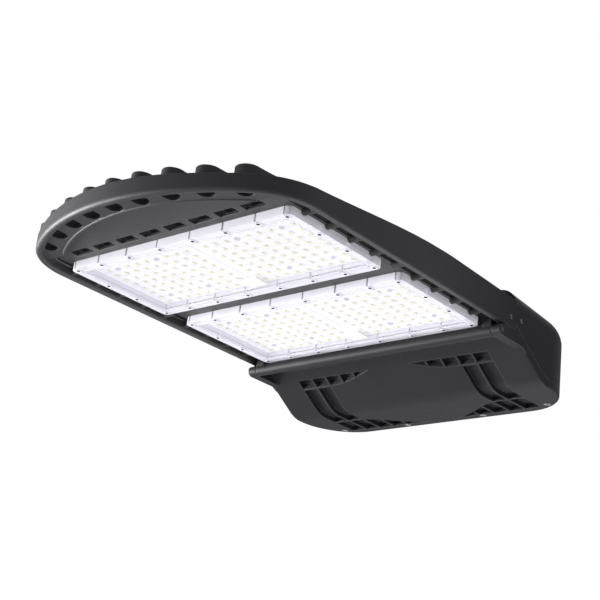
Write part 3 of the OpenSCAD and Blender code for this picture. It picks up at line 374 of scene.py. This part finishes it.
def cover_material(name):
    """Clear cover: see-through over the LED field, milky round its border, with painted shade along
    fine moulded lines.
    """
    m, nt, sh = new_material(name)
    v = place_on_part(nt)
    _, facing_along, facing_up = split(nt, face_normal(nt))
    across, along = from_module_middle(nt)
    inset = calc(nt, "MINIMUM", calc(nt, "SUBTRACT", LENS_W / 2, across),
                 calc(nt, "SUBTRACT", LENS_L / 2, along))
    inset = calc(nt, "DIVIDE", inset, COVER_BORDER)
    # Painted shade: dark lines along the border's moulded grooves
    lines = [(place, tuple(c + (t - c) * dark for c, t in zip(COVER_TONE, GROOVE_SHADE_TONE)))
             for place, dark in GROOVE_SHADE_LINES]
    body = ramp(nt, inset, line_stops(lines, LINE_W, LINE_W / 3, COVER_BORDER, COVER_TONE))

    # Screw shanks seen through the front and rear walls
    shanks = [(x, (1, 1, 1)) for x in SCREW_X]
    ticks = ramp(nt, calc(nt, "DIVIDE", across, LENS_W),
                 line_stops(shanks, SHANK_W, SHANK_W / 2, LENS_W, (0, 0, 0)))
    wall = calc(nt, "GREATER_THAN", calc(nt, "ABSOLUTE", facing_along), FACES_ALONG)
    body = mix_colour(nt, calc(nt, "MULTIPLY", ticks, wall), body, SHANK_TONE)
    nt.links.new(body, sh.inputs["Base Color"])

    # Painted glow: the clear side walls give off light in place of light carried inside the clear edge
    nt.links.new(body, sh.inputs["Emission Color"])
    side = calc(nt, "LESS_THAN", calc(nt, "ABSOLUTE", facing_up), FACES_LEVEL)
    nt.links.new(calc(nt, "MULTIPLY", side, EDGE_GLOW), sh.inputs["Emission Strength"])
    rough = to_range(nt, noise(nt, v, scale=30, detail=2), low=0.06, high=0.12)
    nt.links.new(rough, sh.inputs["Roughness"])
    moulded_gloss(nt, sh, v)

    # Milky border, clear field
    alpha = to_range(nt, inset, BORDER_ALPHA, FIELD_ALPHA, start=BORDER_W / COVER_BORDER,
                     end=(BORDER_W + BORDER_FADE) / COVER_BORDER)
    nt.links.new(alpha, sh.inputs["Alpha"])
    return m


def phosphor(name):
    """Phosphor of an LED: pale yellow, slightly uneven."""
    m, nt, sh = new_material(name)
    n = noise(nt, place_on_part(nt), scale=500, detail=2)
    nt.links.new(cloudy(nt, n, (0.80, 0.76, 0.20), (0.86, 0.82, 0.28)), sh.inputs["Base Color"])
    nt.links.new(to_range(nt, n, low=0.4, high=0.6), sh.inputs["Roughness"])
    return m


coat = powder_coat("powder_coat_black", COAT_DARK, COAT_LIGHT, COAT_ROUND * MM)
steel = metal("screw_steel", (0.62, 0.62, 0.64), rough=0.28)
dark_steel = metal("dark_screw_steel", (0.13, 0.13, 0.15), rough=0.35)
# The centre colour is painted shade in the drive recess
cover_steel = screw_heads("cover_screw_steel", rim=(0.74, 0.73, 0.80), centre=(0.05, 0.05, 0.06))
seal = plastic("door_seal_rubber", (0.05, 0.05, 0.055), rough=0.8)
clear_cover = cover_material("clear_polycarbonate")
clear_dome = clear("clear_dome", (0.93, 0.93, 0.98), alpha=0.16, rough=0.05)
light_seal = plastic("cover_seal_silicone", (0.80, 0.80, 0.81), rough=0.55)
board = plastic("board_white", (0.86, 0.85, 0.92), rough=0.42, vary=0.03)
socket = plastic("socket_white", (0.86, 0.86, 0.85), rough=0.4)
case = metal("driver_case", (0.70, 0.70, 0.72), rough=0.38, scratch=150)
sheet = metal("tray_sheet", (0.66, 0.66, 0.68), rough=0.33, scratch=60)
surge = plastic("surge_blue", (0.05, 0.09, 0.28), rough=0.45)
earth = metal("earth_green", (0.16, 0.45, 0.20), rough=0.4)
bush = plastic("bush_rubber", (0.02, 0.02, 0.02), rough=0.7)
led = phosphor("led_phosphor")

FINISH = {
    "housing": coat, "driver_door": coat, "hinge_pins": dark_steel, "door_gasket": seal,
    "door_screws": steel, "front_lens": clear_cover, "rear_lens": clear_cover,
    "front_lens_gasket": light_seal, "rear_lens_gasket": light_seal,
    "front_lens_screws": cover_steel, "rear_lens_screws": cover_steel,
    "front_left_board": board, "front_right_board": board,
    "rear_left_board": board, "rear_right_board": board,
    "front_leds": led, "rear_leds": led, "board_screws": steel, "lead_sockets": socket,
    "driver": case, "driver_tray": sheet, "driver_screws": steel, "tray_screws": steel,
    "surge_protector": surge, "terminal_block": socket, "earth_screw": earth,
    "wire_bush": bush, "lead_grommet": bush, "side_screws": steel,
}
for node, finish in FINISH.items():
    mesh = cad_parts[node].data
    mesh.materials.clear()
    mesh.materials.append(finish)


# Pieces
def mesh_object(name, verts, faces, material):
    me = bpy.data.meshes.new(name)
    me.from_pydata([tuple(c * MM for c in v) for v in verts], [], faces)
    me.validate()
    me.update()
    for poly in me.polygons:
        poly.use_smooth = True
    me.materials.append(material)
    ob = bpy.data.objects.new(name, me)
    bpy.context.scene.collection.objects.link(ob)
    return ob


def led_places():
    """X and Y of each LED of a module, from the module's front edge."""
    for side in (-1, 1):
        for i in range(LED_COUNT_X):
            for j in range(LED_COUNT_Y):
                if i in BOARD_SCREW_COLUMNS and j in BOARD_SCREW_ROWS:
                    continue
                yield (side * (LED_CENTRE_GAP / 2 + i * LED_PITCH_X),
                       LENS_L / 2 + (j - (LED_COUNT_Y - 1) / 2) * LED_PITCH_Y)


def add_rings(verts, faces, centre, profile, sides):
    """Rings below a centre, each a radius and a drop, with faces between them; gives the last ring."""
    x, y, z = centre
    ring = []
    for radius, drop in profile:
        last = ring
        ring = [len(verts) + k for k in range(sides)]
        for k in range(sides):
            a = 2 * math.pi * k / sides
            verts.append((x + radius * math.cos(a), y + radius * math.sin(a), z - drop))
        if last:
            for k in range(sides):
                k2 = (k + 1) % sides
                faces.append((last[k], ring[k], ring[k2], last[k2]))
    return ring


def domes(name, y0):
    verts, faces = [], []
    profile = [(DOME_R * r, DOME_H * h) for r, h in DOME_PROFILE[:-1]]
    for x, y in led_places():
        ring = add_rings(verts, faces, (x, y0 + y, DOME_FOOT_Z), profile, DOME_SIDES)
        top = len(verts)
        verts.append((x, y0 + y, DOME_FOOT_Z - DOME_H))
        for k in range(DOME_SIDES):
            faces.append((ring[k], top, ring[(k + 1) % DOME_SIDES]))
    ob = mesh_object(name, verts, faces, clear_dome)
    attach(ob, "body")


def caps(name, y0):
    verts, faces = [], []
    profile = [(CAP_R, 0.0), (CAP_R * CAP_LOWER_SHARE, CAP_H)]
    for x, y in led_places():
        base = len(verts)
        ring = add_rings(verts, faces, (x, y0 + y, CAP_Z), profile, CAP_SIDES)
        faces.append(tuple(reversed(ring)))
        faces.append(tuple(base + k for k in range(CAP_SIDES)))
    ob = mesh_object(name, verts, faces, led)
    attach(ob, "body")


domes("front_domes", FRONT_Y)
domes("rear_domes", FRONT_Y + MODULE_PITCH)
caps("front_caps", FRONT_Y)
caps("rear_caps", FRONT_Y + MODULE_PITCH)


# Stage
def white_where_seen(nt):
    """1 for rays that come straight from the camera or through a clear piece."""
    rays = nt.nodes.new("ShaderNodeLightPath")
    return calc(nt, "MAXIMUM", rays.outputs["Is Camera Ray"], rays.outputs["Is Transmission Ray"])


def background(nt, colour, strength):
    n = nt.nodes.new("ShaderNodeBackground")
    n.inputs["Color"].default_value = (*colour, 1)
    n.inputs["Strength"].default_value = strength
    return n.outputs[0]


world = bpy.data.worlds.new("studio")
bpy.context.scene.world = world
world.use_nodes = True
wt = world.node_tree
wt.nodes.clear()
w_out = wt.nodes.new("ShaderNodeOutputWorld")
mix = wt.nodes.new("ShaderNodeMixShader")
wt.links.new(white_where_seen(wt), mix.inputs["Fac"])
wt.links.new(background(wt, AMBIENT_TONE, AMBIENT), mix.inputs[1])
wt.links.new(background(wt, (1, 1, 1), BACKGROUND), mix.inputs[2])
wt.links.new(mix.outputs[0], w_out.inputs["Surface"])

floor_me = bpy.data.meshes.new("floor")
corners = [(x * FLOOR_HALF, y * FLOOR_HALF, FLOOR_Z) for x, y in ((-1, -1), (1, -1), (1, 1), (-1, 1))]
floor_me.from_pydata(corners, [], [(0, 1, 2, 3)])
floor = bpy.data.objects.new("floor", floor_me)
bpy.context.scene.collection.objects.link(floor)
fm, fnt, fsh = new_material("floor_pale")
fsh.inputs["Base Color"].default_value = (*FLOOR_TONE, 1)
fsh.inputs["Roughness"].default_value = 0.9
fsh.inputs["Emission Color"].default_value = (1, 1, 1, 1)
seen = fnt.nodes.new("ShaderNodeLightPath")
fnt.links.new(calc(fnt, "MULTIPLY", seen.outputs["Is Camera Ray"], FLOOR_LIFT),
              fsh.inputs["Emission Strength"])
floor_me.materials.append(fm)


def lamp(name, place, size, power, spread=180):
    """Soft area lamp that looks at the part's middle; place and size in metres, spread in degrees."""
    data = bpy.data.lights.new(name, "AREA")
    data.shape = "RECTANGLE"
    data.size, data.size_y = size
    data.energy = power
    data.spread = math.radians(spread)
    ob = bpy.data.objects.new(name, data)
    ob.location = place
    ob.rotation_mode = "QUATERNION"
    ob.rotation_quaternion = (Vector(MIDDLE) - Vector(place)).to_track_quat("-Z", "Y")
    ob.visible_camera = False
    bpy.context.scene.collection.objects.link(ob)


lamp("key_below", (0.2, 0.35, -1.2), size=(1.6, 1.2), power=21)
lamp("left", (-1.7, -1.2, -0.35), size=(1.2, 1.2), power=30, spread=90)
lamp("top", (-0.4, 0.3, 1.6), size=(1.8, 1.8), power=24)

# Camera
cam_data = bpy.data.cameras.new("camera")
cam_data.sensor_width = SENSOR_MM
cam_data.lens = FOCAL_PX / PHOTO_PX * SENSOR_MM
cam_data.clip_start = 0.05
cam_data.clip_end = 50
cam = bpy.data.objects.new("camera", cam_data)
bpy.context.scene.collection.objects.link(cam)
axes = zip(CAM_RIGHT, CAM_UP, CAM_FORWARD, CAM_PLACE)
cam.matrix_world = Matrix([(r, u, -f, p) for r, u, f, p in axes] + [(0, 0, 0, 1)])
bpy.context.scene.camera = cam
bpy.context.scene.view_settings.view_transform = "Standard"
